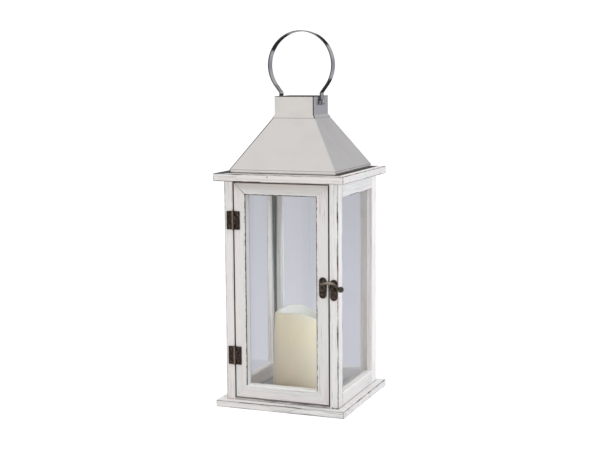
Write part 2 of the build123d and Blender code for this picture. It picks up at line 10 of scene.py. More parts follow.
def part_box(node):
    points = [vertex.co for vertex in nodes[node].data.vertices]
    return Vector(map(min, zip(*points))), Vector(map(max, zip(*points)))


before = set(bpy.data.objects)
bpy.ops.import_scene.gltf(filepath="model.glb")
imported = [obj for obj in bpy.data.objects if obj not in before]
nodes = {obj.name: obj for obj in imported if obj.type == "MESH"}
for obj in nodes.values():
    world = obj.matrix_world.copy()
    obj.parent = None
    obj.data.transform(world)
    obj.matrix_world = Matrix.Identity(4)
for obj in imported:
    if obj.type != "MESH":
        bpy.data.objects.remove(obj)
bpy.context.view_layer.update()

# ---------------------------------------------------------------- camera and studio
camera_place = Vector((0.56070, -1.44540, 0.42391))
camera_yaw = math.radians(21.315)        # turned left from +Y
camera_pitch = math.radians(7.368)       # tilted down
camera_roll = math.radians(-0.428)
camera_lens = 73.47
sensor_width = 36.0
floor_radius = 1.6
lantern_middle = (0.0, 0.0, 0.2)
backdrop_strength = 1.1                  # white behind the lantern, seen by the camera only
front_stops = (                          # what is in front of the lantern, from below to above
    (-0.40, (0.80, 0.78, 0.76)), (-0.20, (0.98, 0.96, 0.93)), (-0.02, (1.02, 1.0, 0.97)),
    (0.10, (0.34, 0.34, 0.34)), (0.50, (0.42, 0.42, 0.42)), (0.72, (0.92, 0.90, 0.88)),
    (0.95, (0.80, 0.79, 0.78)),
)
back_stops = (                           # and behind it
    (-0.30, (0.58, 0.585, 0.65)), (-0.20, (0.57, 0.575, 0.645)), (-0.08, (0.45, 0.455, 0.505)),
    (0.05, (0.40, 0.41, 0.455)), (0.18, (0.60, 0.60, 0.62)), (0.45, (0.60, 0.60, 0.61)),
    (0.75, (0.80, 0.80, 0.80)),
)
flag_colour = (0.03, 0.03, 0.032)
dark_flags = (                           # black cards: their direction, and where they start and end
    (-0.06, 0.93, 0.36, 0.14, 0.21), (0.14, 0.92, -0.36, 0.10, 0.18), (-0.12, 0.90, -0.43, 0.16, 0.22),
    (-0.88, 0.40, 0.30, 0.20, 0.34), (0.70, 0.71, 0.10, 0.10, 0.18),
)

# ---------------------------------------------------------------- colours, linear
wash_warm = (0.835, 0.785, 0.770)
wash_cool = (0.800, 0.795, 0.780)
# thin wash over the grain's streaks, also the painted shadow below the top slab
thin_wash_and_shadow = (0.580, 0.540, 0.510)
# painted highlight along a bottom rail's upper edge
sill_highlight_colour = (0.900, 0.890, 0.870)
bare_edge = (0.075, 0.060, 0.052)
bare_wood = (0.56, 0.38, 0.21)
# dirt and painted shade on the top slab beside the roof
top_shade_and_dirt = (0.030, 0.028, 0.027)
# painted shade in the gap round the door
gap_shade_colour = (0.300, 0.245, 0.222)
# painted shade on the floor inside the chamber
floor_shade_colour = (0.330, 0.350, 0.370)
# painted shade in the chamber's back corners
corner_shade_colour = (0.045, 0.065, 0.062)
sheet_colour = (0.765, 0.745, 0.735)
sheet_inside_shade = (0.085, 0.083, 0.080)     # the sheet's inside is dull, and darkened by painted shade
# dark seams and strap edges, also painted shade along the sheet's crease and hem
seam_and_shade_colour = (0.030, 0.028, 0.028)
strap_colour = (0.66, 0.66, 0.665)
# the drawn streaks' dull colour, also the painted dark reflection at the ring's crown
strap_streak_and_reflection = (0.26, 0.26, 0.265)
zinc_colour = (0.55, 0.56, 0.58)
bronze_dark = (0.026, 0.019, 0.016)
bronze_light = (0.160, 0.120, 0.095)
# painted highlight along the hinge's barrel
bronze_barrel_highlight = (0.26, 0.185, 0.145)
# painted highlight along the hook's top
bronze_highlight = (0.42, 0.36, 0.30)
wax_colour = (0.900, 0.748, 0.582)
# painted shade towards the candle's foot
wax_foot_shade = (0.74, 0.61, 0.46)
# painted light inside the candle's recess
wax_recess_glow = (0.93, 0.89, 0.80)
glass_tint = (0.988, 0.994, 0.994)
glass_shade = (0.985, 0.990, 0.990)

# ---------------------------------------------------------------- wear and marks, metres
scuff_place = (0.045, -0.085, 0.004)     # worn grain on the base slab's front face
scuff_reach = 0.075
corner_scuff = (0.084, -0.084, 0.007)    # and on its right corner
corner_scuff_reach = 0.012
nail_mark = (-0.0125, -0.085, 0.2915)    # a filled nail hole in the top slab's front face
nail_size = (0.0006, 0.0012)             # radii of its middle and its rim
worn_least = 0.0007                      # how far from an edge the wash is rubbed off
worn_most = 0.0015
post_wear = 1.5                          # the right front stile is worn this many times farther
unworn_reach = (0.0015, 0.0025)          # how near a hidden edge the wear stops
opening_dirt = (0.0006, 0.0015)          # least and most width of the dirt line round the pane
mitre_gap = (0.0003, 0.0009)             # how far the dirt in the open mitre reaches to each side
sill_highlight_depth = (0.0009, 0.0015)             # depth of the painted highlight along the top of a bottom rail
slab_shadow_reach = 0.012                # how far painted shadow greys the door's wash, below the top slab
roof_shade_reach = (0.022, 0.0095)              # reach of the dirt and painted shade on the slab beside the roof, at its left end and elsewhere
roof_shade_turn = (-0.076, -0.066)        # where along X it goes from one to the other
corner_heights = (0.08, 0.28)            # where the painted corner shade has its low and its high reach
gap_lip = (0.0002, 0.0012)               # how soft the edges of the painted shade in the door's gap are
floor_soft = 0.0002                      # and of the floor's painted shade at the chamber's sides
hook_highlight_reach = 0.0042                     # how much of the hook's height gets a painted highlight along its top
barrel_proud = 0.0006                    # how far the hinge's barrel stands out of its leaves; its highlight is painted there
ring_crown = (0.448, 0.466)              # heights between which a dark reflection is painted on the ring
roof_seam = 0.0021                       # half width of the dark seam along a hip or corner
chimney_seam = 0.0012
crease_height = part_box("roof")[0].z + 0.0038     # where the roof's skirt is folded
hem_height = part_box("chimney")[1].z
candle_recess = (0.0300, 0.0315)         # radii where the painted light in the recess gives way to the outer wax
wax_depth = (0.030, 0.022, 0.014)        # how far red, green and blue light travel in the wax

WOOD = {
    "base_slab": 0, "top_slab": 0, "threshold_strip": 0, "door_stop": 0,
    "right_front_stile": 2, "right_back_stile": 2, "right_bottom_rail": 1, "right_top_rail": 1,
    "left_front_stile": 2, "left_back_stile": 2, "left_bottom_rail": 1, "left_top_rail": 1,
    "back_left_stile": 2, "back_right_stile": 2, "back_bottom_rail": 0, "back_top_rail": 0,
    "door_left_stile": 2, "door_right_stile": 2, "door_bottom_rail": 0, "door_top_rail": 0,
}  # each timber and the axis that its grain runs along
WASH_TONE_AND_LIGHT = {
    "door_top_rail": 0.95, "door_bottom_rail": 0.97, "door_left_stile": 0.96, "door_right_stile": 0.93,
    "left_back_stile": 1.18, "left_bottom_rail": 1.05, "back_left_stile": 1.05, "back_right_stile": 1.12,
    "right_back_stile": 1.13, "right_front_stile": 1.02, "top_slab": 0.96, "base_slab": 1.04,
}  # how light a timber's wash is, where it isn't 1: partly its tone, partly painted light on the timbers inside the chamber and painted shade on the door
CORNER_REACH = {
    "back_left_stile": (0.0018, 0.0045), "left_back_stile": (0.0008, 0.0045),
    "back_right_stile": (0.0010, 0.0013), "right_back_stile": (0.0006, 0.0008),
}  # how far the painted shade spreads from a corner of the chamber, low and high on its stile
OPENING = ("door_left_stile", "door_right_stile", "door_top_rail")
OPEN_MITRE = ("door_left_stile", "door_top_rail")
GLASS = ("right_pane", "left_pane", "back_pane", "door_pane")
STRAP = ("handle_ring", "handle_rivets", "rivet_washers")
HINGE_LEAVES = (
    "upper_hinge_post_leaf", "upper_hinge_door_leaf", "lower_hinge_post_leaf", "lower_hinge_door_leaf",
)
LATCH_PLATES = ("latch_door_plate", "latch_post_plate")
BRONZE_PINS = (
    "hinge_pins", "hinge_post_screws", "hinge_door_screws", "latch_door_screws", "latch_post_screws",
    "latch_pivot", "latch_stud",
)
ZINC = (
    "base_screws", "roof_screws", "door_stop_screws", "pane_clips", "pane_clip_screws",
    "candle_cover_screw", "candle_battery_contacts",
)


# ---------------------------------------------------------------- node helper
class Graph:
    """A material's or world's node tree, with short calls that add a node and give its output."""

    def __init__(self, name, family=None):
        self.block = (bpy.data.materials if family is None else family).new(name)
        self.block.use_nodes = True
        self.tree = self.block.node_tree
        self.tree.nodes.clear()
        self.place = self.add("ShaderNodeTexCoord").outputs["Object"]

    def add(self, kind, **settings):
        """A new node of a kind, with its settings."""
        node = self.tree.nodes.new(kind)
        for key, value in settings.items():
            setattr(node, key, value)
        return node

    def feed(self, socket, value):
        """Links an output to a socket, or sets the socket to a value."""
        if isinstance(value, bpy.types.NodeSocket):
            self.tree.links.new(value, socket)
        elif isinstance(value, tuple) and len(value) == 3 and socket.type == "RGBA":
            socket.default_value = (*value, 1.0)
        else:
            socket.default_value = value

    def math(self, operation, *values):
        node = self.add("ShaderNodeMath", operation=operation)
        for socket, value in zip(node.inputs, values):
            self.feed(socket, value)
        return node.outputs[0]

    def vector(self, operation, *values):
        node = self.add("ShaderNodeVectorMath", operation=operation)
        for socket, value in zip(node.inputs, values):
            self.feed(socket, value)
        return node.outputs["Value"] if operation == "LENGTH" else node.outputs[0]

    def split(self, vector):
        """A vector's X, Y and Z."""
        node = self.add("ShaderNodeSeparateXYZ")
        self.feed(node.inputs[0], vector)
        return node.outputs

    def scaled(self, scale, shift=(0.0, 0.0, 0.0)):
        """The place on the piece, scaled along each axis and shifted."""
        return self.vector("MULTIPLY_ADD", self.place, scale, shift)

    def noise(self, vector, detail=4.0, roughness=0.55):
        """Cloudy noise whose size is set by how its vector was scaled."""
        node = self.add("ShaderNodeTexNoise")
        self.feed(node.inputs["Vector"], vector)
        self.feed(node.inputs["Scale"], 1.0)
        self.feed(node.inputs["Detail"], detail)
        self.feed(node.inputs["Roughness"], roughness)
        return node.outputs["Fac"]

    def ramp(self, value, low, high, to_low=0.0, to_high=1.0):
        """A smooth step from one value to another."""
        node = self.add("ShaderNodeMapRange", interpolation_type="SMOOTHSTEP")
        for socket, number in zip(node.inputs, (value, low, high, to_low, to_high)):
            self.feed(socket, number)
        return node.outputs[0]

    def mix(self, factor, first, second):
        """The first colour where the factor is 0, the second where it is 1."""
        node = self.add("ShaderNodeMix", data_type="RGBA")
        self.feed(node.inputs[0], factor)
        self.feed(node.inputs[6], first)
        self.feed(node.inputs[7], second)
        return node.outputs[2]

    def bump(self, height, distance, strength=1.0, normal=None):
        node = self.add("ShaderNodeBump")
        self.feed(node.inputs["Height"], height)
        self.feed(node.inputs["Distance"], distance)
        self.feed(node.inputs["Strength"], strength)
        if normal is not None:
            self.feed(node.inputs["Normal"], normal)
        return node.outputs[0]

    def principled(self, **sockets):
        """A principled shader. In a socket's name an underscore stands for a space."""
        node = self.add("ShaderNodeBsdfPrincipled")
        for key, value in sockets.items():
            self.feed(node.inputs[key.replace("_", " ")], value)
        return node.outputs[0]

    def finish(self, shader):
        """The material, with its surface linked."""
        output = self.add("ShaderNodeOutputMaterial")
        self.feed(output.inputs["Surface"], shader)
        return self.block


def edge_distance(graph, low, high):
    """How far a point on a block's face is from the block's nearest edge."""
    centre = (low + high) / 2
    half = (high - low) / 2
    offset = graph.vector("SUBTRACT", graph.place, tuple(centre))
    inside = graph.vector("SUBTRACT", tuple(half), graph.vector("ABSOLUTE", offset))
    x, y, z = graph.split(inside)
    smaller = graph.math("MINIMUM", x, y)
    larger = graph.math("MAXIMUM", x, y)
    return graph.math("MAXIMUM", smaller, graph.math("MINIMUM", larger, z))


def faded(colour, share):
    """A colour with each part multiplied by a share."""
    return tuple(share * c for c in colour)


def dress(names, material):
    """Gives pieces one material."""
    for name in names:
        nodes[name].data.materials.clear()
        nodes[name].data.materials.append(material)


# ---------------------------------------------------------------- wood
def along_grain(size, axis, stretch):
    """The scale of a noise whose marks are long along the grain."""
    scale = [size, size, size]
    scale[axis] = size * stretch
    return tuple(scale)


def out_of_reach(graph, name):
    """0 on edges that nobody rubs, inside the chamber and in the gap round the door, else 1."""
    x, y, z = graph.split(graph.place)
    across = graph.math("ABSOLUTE", x)
    if name.startswith("door_"):
        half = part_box("door_right_stile")[1].x
        low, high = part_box("door_left_stile")[0].z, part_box("door_left_stile")[1].z
        from_side = graph.math("SUBTRACT", half, across)
        from_end = graph.math("MINIMUM", graph.math("SUBTRACT", high, z), graph.math("SUBTRACT", z, low))
        return graph.ramp(graph.math("MINIMUM", from_side, from_end), *unworn_reach)
    if name == "right_back_stile":
        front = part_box(name)[0].y
        return graph.ramp(graph.math("SUBTRACT", y, front), *unworn_reach)
    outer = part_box("right_front_stile")[1].x
    outside = graph.ramp(from_centre(graph), outer - 0.0035, outer - 0.0015)
    if name.endswith("front_stile"):
        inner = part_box("right_front_stile")[0].x
        past_inner = graph.ramp(graph.math("SUBTRACT", across, inner), *unworn_reach)
        outside = graph.math("MULTIPLY", outside, past_inner)
    return outside


def worn_edges(graph, name, axis, shift):
    """1 on the thin, broken line where the wash is rubbed off a timber's edges, else 0."""
    low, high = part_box(name)
    edge = edge_distance(graph, low, high)
    ragged = graph.noise(graph.scaled(along_grain(420.0, axis, 0.12), shift), roughness=0.7)
    most = post_wear * worn_most if name == "right_front_stile" else worn_most
    reach = graph.ramp(ragged, 0.35, 0.70, worn_least, most)
    line = graph.ramp(graph.math("DIVIDE", edge, reach), 0.6, 1.15, 1.0, 0.0)
    line = graph.math("MULTIPLY", line, out_of_reach(graph, name))
    broken = graph.noise(graph.scaled(along_grain(60.0, axis, 0.35), shift), detail=5.0, roughness=0.7)
    least = 0.85 if name.startswith("door_") else 0.5
    return graph.math("MULTIPLY", line, graph.ramp(broken, 0.42, 0.60, least, 1.0))


def opening_line(graph, name):
    """1 where dirt has settled along the door's glazed opening: its front edge, and against the pane."""
    half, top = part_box("door_right_stile")[0].x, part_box("door_top_rail")[0].z
    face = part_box(name)[0].y
    x, y, z = graph.split(graph.place)
    beside = graph.math("SUBTRACT", graph.math("ABSOLUTE", x), half)
    away = graph.math("MAXIMUM", beside, graph.math("SUBTRACT", z, top))
    ragged = graph.noise(graph.scaled((170.0, 170.0, 170.0)), roughness=0.7)
    reach = graph.ramp(ragged, 0.40, 0.62, *opening_dirt)
    near = graph.ramp(graph.math("DIVIDE", away, reach), 0.7, 1.2, 1.0, 0.0)
    front = graph.ramp(y, face + 0.0003, face + 0.0007, 1.0, 0.0)
    from_pane = graph.math("ABSOLUTE", graph.math("SUBTRACT", y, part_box("door_pane")[0].y))
    line = graph.math("MAXIMUM", front, graph.ramp(from_pane, 0.0006, 0.0011, 0.7, 0.0))
    return graph.math("MULTIPLY", near, line)


def open_mitre(graph):
    """1 on the door's upper left mitre, which has shrunk open and filled with dirt, else 0."""
    place = graph.split(graph.place)
    corner_x, corner_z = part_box("door_left_stile")[1].x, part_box("door_top_rail")[0].z
    out = graph.math("SUBTRACT", corner_x, place["X"])
    up = graph.math("SUBTRACT", place["Z"], corner_z)
    across = graph.math("ABSOLUTE", graph.math("SUBTRACT", out, up))
    line = graph.ramp(across, *mitre_gap, 0.8, 0.0)
    line = graph.math("MULTIPLY", line, graph.ramp(out, 0.0, 0.0002))
    return graph.math("MULTIPLY", line, graph.ramp(out, 0.003, 0.009, 1.0, 0.45))


def sill_highlight(graph, name):
    """1 along the upper front edge of a bottom rail, where a highlight is painted, else 0."""
    below = graph.math("SUBTRACT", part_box(name)[1].z, graph.split(graph.place)["Z"])
    return graph.ramp(below, *sill_highlight_depth, 1.0, 0.0)


def slab_shadow(graph):
    """How much painted shadow greys the door's wash just below the top slab."""
    below = graph.math("SUBTRACT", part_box("door_top_rail")[1].z, graph.split(graph.place)["Z"])
    return graph.ramp(below, 0.0, slab_shadow_reach, 0.85, 0.0)


def scuffed_patch(graph, fine, place, size):
    """A patch where the wash has worn off the raised grain."""
    away = graph.vector("LENGTH", graph.vector("SUBTRACT", graph.place, place))
    near = graph.ramp(away, 0.1 * size, size, 0.65, 0.0)
    return graph.math("MULTIPLY", near, graph.ramp(fine, 0.50, 0.64))


def washed_grain(graph, name, axis, shift, streak, fine):
    """The wash itself: warmer and cooler patches, thin over the streaks and pores of the grain."""
    tint = graph.noise(graph.scaled(along_grain(60.0, axis, 0.05), shift), detail=3.0)
    cloud = graph.noise(graph.scaled((26.0, 26.0, 26.0), shift), detail=3.0)
    # the wash's lightness per timber holds painted light and shade as well as tone
    share = WASH_TONE_AND_LIGHT.get(name, 1.0)
    colour = graph.mix(graph.ramp(tint, 0.40, 0.60), faded(wash_warm, share), faded(wash_cool, share))
    colour = graph.mix(graph.ramp(streak, 0.50, 0.70, 0.0, 0.45), colour, thin_wash_and_shadow)
    most = 0.40 if name == "base_slab" else 0.70
    thin = graph.math("MULTIPLY", graph.ramp(fine, 0.55, 0.72), graph.ramp(cloud, 0.38, 0.66, 0.15, most))
    return graph.mix(thin, colour, bare_edge)


def worn_places(graph, name, axis, shift):
    """1 wherever a timber's edges and joints are bare or dirty, else 0."""
    worn = worn_edges(graph, name, axis, shift)
    if name in OPENING:
        worn = graph.math("MAXIMUM", worn, opening_line(graph, name))
    if name in OPEN_MITRE:
        worn = graph.math("MAXIMUM", worn, open_mitre(graph))
    # no wear is drawn under the painted highlight along the rail's top
    if name.endswith("bottom_rail"):
        worn = graph.math("MULTIPLY", worn, graph.math("SUBTRACT", 1.0, sill_highlight(graph, name)))
    return worn


def marks_and_shade(graph, name, colour, streak, fine):
    """A timber's colour with its own stains and marks added, and painted shade in the chamber, the door's
    gap and beside the roof.
    """
    if name == "top_slab":
        # dirt and painted shade beside the roof, and a filled nail hole
        colour = graph.mix(roof_shade_and_dirt(graph), colour, top_shade_and_dirt)
        from_nail = graph.vector("LENGTH", graph.vector("SUBTRACT", graph.place, nail_mark))
        colour = graph.mix(graph.ramp(from_nail, *nail_size, 0.8, 0.0), colour, bare_edge)
    if name in CORNER_REACH:
        # painted shade in the chamber's back corners
        colour = graph.mix(corner_shade(graph, *CORNER_REACH[name]), colour, corner_shade_colour)
    if name.startswith("door_") or name.endswith("front_stile"):
        # painted shade in the door's gap
        colour = graph.mix(gap_shade(graph), colour, gap_shade_colour)
    if name == "base_slab":
        # painted shade on the chamber's floor
        colour = graph.mix(chamber_floor_shade(graph), colour, floor_shade_colour)
        scuff = scuffed_patch(graph, fine, scuff_place, scuff_reach)
        colour = graph.mix(scuff, colour, bare_edge)
        scuff = scuffed_patch(graph, streak, corner_scuff, corner_scuff_reach)
        colour = graph.mix(scuff, colour, bare_edge)
    return colour


def whitewash(name, axis, seed):
    """Thin white wash over straight grain, rubbed through to brown along the timber's edges, with painted
    shade and highlights added.
    """
    graph = Graph("whitewash_" + name)
    shift = (3.1 * seed, 1.7 * seed, 2.3 * seed)
    streak = graph.noise(graph.scaled(along_grain(260.0, axis, 0.02), shift))
    fine = graph.noise(graph.scaled(along_grain(900.0, axis, 0.03), shift), detail=5.0, roughness=0.65)
    colour = washed_grain(graph, name, axis, shift, streak, fine)
    if name.startswith("door_"):
        # painted shadow of the top slab across the door's top
        colour = graph.mix(slab_shadow(graph), colour, thin_wash_and_shadow)
    if name.endswith("bottom_rail"):
        # painted highlight along the top of a bottom rail
        colour = graph.mix(sill_highlight(graph, name), colour, sill_highlight_colour)
    worn = worn_places(graph, name, axis, shift)
    colour = graph.mix(worn, colour, bare_edge)
    colour = marks_and_shade(graph, name, colour, streak, fine)
    rough = graph.ramp(fine, 0.3, 0.7, 0.52, 0.72)
    height = graph.math("ADD", fine, graph.math("MULTIPLY", worn, -0.5))
    normal = graph.bump(height, 0.00020, 0.6)
    return graph.finish(
        graph.principled(Base_Color=colour, Roughness=rough, Specular_IOR_Level=0.25, Normal=normal)
    )


def from_centre(graph):
    """How far out a point is from the lantern's upright axis, measured square to its sides."""
    place = graph.split(graph.place)
    return graph.math("MAXIMUM", graph.math("ABSOLUTE", place["X"]), graph.math("ABSOLUTE", place["Y"]))


def roof_shade_and_dirt(graph):
    """1 on the slab's upper face close to the roof, where dirt and painted shade from the roof's skirt
    sit, else 0.
    """
    upward = graph.split(graph.add("ShaderNodeNewGeometry").outputs["Normal"])["Z"]
    out = graph.math("SUBTRACT", from_centre(graph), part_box("roof")[1].x)
    reach = graph.ramp(graph.split(graph.place)["X"], *roof_shade_turn, *roof_shade_reach)
    near = graph.ramp(graph.math("DIVIDE", out, reach), 0.55, 1.0, 1.0, 0.0)
    return graph.math("MULTIPLY", near, graph.ramp(upward, 0.5, 0.8))


def corner_shade(graph, low_reach, high_reach):
    """The painted shade in the corner between a back stile and its side frame."""
    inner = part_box("right_front_stile")[0].x
    place = graph.split(graph.place)
    across = graph.math("ABSOLUTE", place["X"])
    from_corner = graph.math("ABSOLUTE", graph.math("SUBTRACT", inner, across))
    reach = graph.ramp(place["Z"], *corner_heights, low_reach, high_reach)
    return graph.ramp(graph.math("DIVIDE", from_corner, reach), 0.2, 1.0, 0.94, 0.0)


def gap_shade(graph):
    """1 on the faces that line the narrow gap between the door and its posts, where shade is painted, else
    0.
    """
    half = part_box("door_right_stile")[1].x
    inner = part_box("right_front_stile")[0].x
    facing = graph.split(graph.add("ShaderNodeNewGeometry").outputs["Normal"])["X"]
    sideways = graph.ramp(graph.math("ABSOLUTE", facing), 0.75, 0.95)
    across = graph.math("ABSOLUTE", graph.split(graph.place)["X"])
    past_door = graph.ramp(graph.math("SUBTRACT", half, across), *gap_lip, 1.0, 0.0)
    before_post = graph.ramp(graph.math("SUBTRACT", across, inner), *gap_lip, 1.0, 0.0)
    return graph.math("MULTIPLY", sideways, graph.math("MULTIPLY", past_door, before_post))


def chamber_floor_shade(graph):
    """1 on the part of the base slab that lies inside the chamber, where shade is painted, else 0."""
    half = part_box("right_front_stile")[0].x
    return graph.ramp(from_centre(graph), half - floor_soft, half + floor_soft, 0.9, 0.0)


def plain_wood():
    """Bare wood, for the dowels and splines."""
    graph = Graph("plain_wood")
    grain = graph.noise(graph.scaled((700.0, 700.0, 30.0)))
    colour = graph.mix(graph.ramp(grain, 0.35, 0.65), bare_wood, faded(bare_wood, 0.8))
    normal = graph.bump(grain, 0.0001)
    return graph.finish(graph.principled(Base_Color=colour, Roughness=0.7, Normal=normal))


# ---------------------------------------------------------------- glass
def glass():
    """Clear float glass. It lets lamps through, so that the chamber behind it is lit."""
    graph = Graph("float_glass")
    smear = graph.noise(graph.scaled((9.0, 9.0, 4.0)), detail=3.0)
    rough = graph.ramp(smear, 0.45, 0.75, 0.0, 0.03)
    clear = graph.principled(Base_Color=glass_tint, Roughness=rough, Transmission_Weight=1.0, IOR=1.45)
    through = graph.add("ShaderNodeBsdfTransparent")
    graph.feed(through.inputs["Color"], glass_shade)
    path = graph.add("ShaderNodeLightPath")
    mixed = graph.add("ShaderNodeMixShader")
    graph.feed(mixed.inputs[0], path.outputs["Is Shadow Ray"])
    graph.feed(mixed.inputs[1], clear)
    graph.feed(mixed.inputs[2], through.outputs[0])
    return graph.finish(mixed.outputs[0])


# ---------------------------------------------------------------- metals
def sheet_lines(graph, seam_side, seam_wide):
    """1 on the sheet's dark lines: its seams along two hips, and painted shade along the skirt's crease
    and the top hem.
    """
    x, y, z = graph.split(graph.place)
    from_hip = graph.math("SUBTRACT", graph.math("ABSOLUTE", y), graph.math("ABSOLUTE", x))
    seam = graph.ramp(graph.math("ABSOLUTE", from_hip), 0.6 * seam_wide, seam_wide, 0.97, 0.0)
    folded = graph.ramp(graph.math("MULTIPLY", graph.math("MULTIPLY", x, y), seam_side), 0.0, 0.0001)
    seam = graph.math("MULTIPLY", seam, folded)
    # painted shade along the skirt's crease and at the top hem
    from_crease = graph.math("ABSOLUTE", graph.math("SUBTRACT", z, crease_height))
    crease = graph.ramp(from_crease, 0.0002, 0.0006, 0.45, 0.0)
    hem = graph.ramp(z, hem_height - 0.0009, hem_height - 0.0004, 0.0, 0.9)
    return graph.math("MAXIMUM", graph.math("MAXIMUM", seam, crease), hem)


def sheet_inside(graph):
    """1 on the faces that look in towards the lantern's axis, where shade is painted, else 0."""
    facing = graph.split(graph.add("ShaderNodeNewGeometry").outputs["Normal"])
    place = graph.split(graph.place)
    along_x = graph.math("MULTIPLY", facing["X"], place["X"])
    along_y = graph.math("MULTIPLY", facing["Y"], place["Y"])
    return graph.ramp(graph.math("ADD", along_x, along_y), -0.002, 0.0, 1.0, 0.0)


def polished_sheet(name, seam_side, seam_wide):
    """Stainless sheet, polished outside but not flat, with dark lines at its folded seams, and painted
    shade at its crease, its hem and on its inside.
    """
    graph = Graph("polished_" + name)
    wave = graph.noise(graph.scaled((9.0, 9.0, 9.0)), detail=1.0)
    haze = graph.noise(graph.scaled((35.0, 35.0, 35.0)), detail=3.0)
    inside = sheet_inside(graph)
    colour = graph.mix(graph.ramp(haze, 0.4, 0.7), sheet_colour, faded(sheet_colour, 0.975))
    colour = graph.mix(sheet_lines(graph, seam_side, seam_wide), colour, seam_and_shade_colour)
    colour = graph.mix(inside, colour, sheet_inside_shade)
    rough = graph.ramp(haze, 0.3, 0.7, 0.21, 0.25)
    rough = graph.math("MAXIMUM", rough, graph.math("MULTIPLY", inside, 0.65))
    normal = graph.bump(wave, 0.002, 0.12)
    return graph.finish(graph.principled(Base_Color=colour, Metallic=1.0, Roughness=rough, Normal=normal))


def chrome_strap():
    """Bright plated strap, drawn along its length, with dark unpolished edges and a painted dark
    reflection across its crown.
    """
    graph = Graph("chrome_strap")
    drawn = graph.noise(graph.scaled((12.0, 1300.0, 12.0)), detail=3.0)
    haze = graph.noise(graph.scaled((70.0, 70.0, 70.0)), detail=3.0)
    rough = graph.ramp(haze, 0.3, 0.7, 0.07, 0.13)
    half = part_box("handle_ring")[1].y
    place = graph.split(graph.place)
    across = graph.math("ABSOLUTE", place["Y"])
    edge = graph.ramp(across, half - 0.0007, half - 0.0001, 0.0, 0.92)
    colour = graph.mix(graph.ramp(drawn, 0.40, 0.62, 0.0, 0.6), strap_colour, strap_streak_and_reflection)
    colour = graph.mix(edge, colour, seam_and_shade_colour)
    # painted dark reflection across the top of the ring
    crown = graph.ramp(place["Z"], *ring_crown, 0.0, 0.85)
    colour = graph.mix(crown, colour, strap_streak_and_reflection)
    normal = graph.bump(drawn, 0.00004, 0.5)
    return graph.finish(graph.principled(Base_Color=colour, Metallic=1.0, Roughness=rough, Normal=normal))


def zinc():
    """Zinc plate with a fine spangle, for hidden fasteners and contacts."""
    graph = Graph("zinc_plate")
    spangle = graph.noise(graph.scaled((800.0, 800.0, 800.0)), detail=3.0)
    rough = graph.ramp(spangle, 0.3, 0.7, 0.28, 0.45)
    colour = graph.mix(graph.ramp(spangle, 0.35, 0.65), zinc_colour, faded(zinc_colour, 0.75))
    normal = graph.bump(spangle, 0.00004, 0.4)
    return graph.finish(graph.principled(Base_Color=colour, Metallic=1.0, Roughness=rough, Normal=normal))


def antique_bronze(name, shine, proud=None, highlight_height=None):
    """Dark antique plating, with a painted highlight on a hinge's barrel, or on the upper part above a
    height.
    """
    graph = Graph(name)
    mottle = graph.noise(graph.scaled((330.0, 330.0, 330.0)), roughness=0.65)
    pit = graph.noise(graph.scaled((1100.0, 1100.0, 1100.0)), detail=3.0)
    colour = graph.mix(graph.ramp(mottle, 0.42, 0.64, 0.0, shine), bronze_dark, bronze_light)
    place = graph.split(graph.place)
    if proud is not None:
        # painted highlight along the barrel, in front of the leaves
        colour = graph.mix(graph.ramp(place["Y"], proud - 0.0003, proud, 0.8, 0.0), colour, bronze_barrel_highlight)
    if highlight_height is not None:
        # painted highlight on the hook's upper part
        worn = graph.ramp(place["Z"], highlight_height, highlight_height + 0.0035, 0.12, 0.95)
        colour = graph.mix(worn, colour, bronze_highlight)
    rough = graph.ramp(mottle, 0.3, 0.7, 0.42, 0.26)
    normal = graph.bump(pit, 0.00010, 0.5)
    return graph.finish(graph.principled(Base_Color=colour, Metallic=0.85, Roughness=rough, Normal=normal))


# ---------------------------------------------------------------- candle
def ivory_wax():
    """Wax coat: slightly translucent, with painted shade darker towards its foot, painted light in its
    recess, and faint cast ripples.
    """
    graph = Graph("ivory_wax")
    low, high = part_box("candle_shell")
    ripple = graph.noise(graph.scaled((60.0, 60.0, 25.0)))
    fine = graph.noise(graph.scaled((600.0, 600.0, 600.0)))
    # painted shade, darker towards the foot
    foot = graph.ramp(graph.split(graph.place)["Z"], low.z, high.z * 0.7, 1.0, 0.0)
    colour = graph.mix(foot, wax_colour, wax_foot_shade)
    colour = graph.mix(graph.ramp(ripple, 0.4, 0.7, 0.0, 0.25), colour, faded(wax_colour, 0.93))
    middle = (low + high) / 2
    aside = graph.vector("MULTIPLY_ADD", graph.place, (1.0, 1.0, 0.0), (-middle.x, -middle.y, 0.0))
    # painted light brightening the recess
    inside = graph.ramp(graph.vector("LENGTH", aside), *candle_recess, 1.0, 0.0)
    colour = graph.mix(inside, colour, wax_recess_glow)
    rough = graph.ramp(ripple, 0.3, 0.7, 0.42, 0.58)
    normal = graph.bump(fine, 0.00006, 0.4, graph.bump(ripple, 0.0008, 0.3))
    return graph.finish(
        graph.principled(
            Base_Color=colour, Roughness=rough, Normal=normal,
            Subsurface_Weight=0.8, Subsurface_Radius=wax_depth, Subsurface_Scale=1.0,
        )
    )


def moulded(name, colour, rough, **extra):
    """Moulded plastic with a fine spark-eroded texture."""
    graph = Graph(name)
    grain = graph.noise(graph.scaled((1200.0, 1200.0, 1200.0)), detail=3.0)
    cloud = graph.noise(graph.scaled((80.0, 80.0, 80.0)), detail=3.0)
    tint = graph.mix(graph.ramp(cloud, 0.35, 0.65), colour, faded(colour, 0.92))
    normal = graph.bump(grain, 0.00004, 0.4)
    roughness = graph.ramp(grain, 0.3, 0.7, rough - 0.05, rough + 0.05)
    return graph.finish(graph.principled(Base_Color=tint, Roughness=roughness, Normal=normal, **extra))


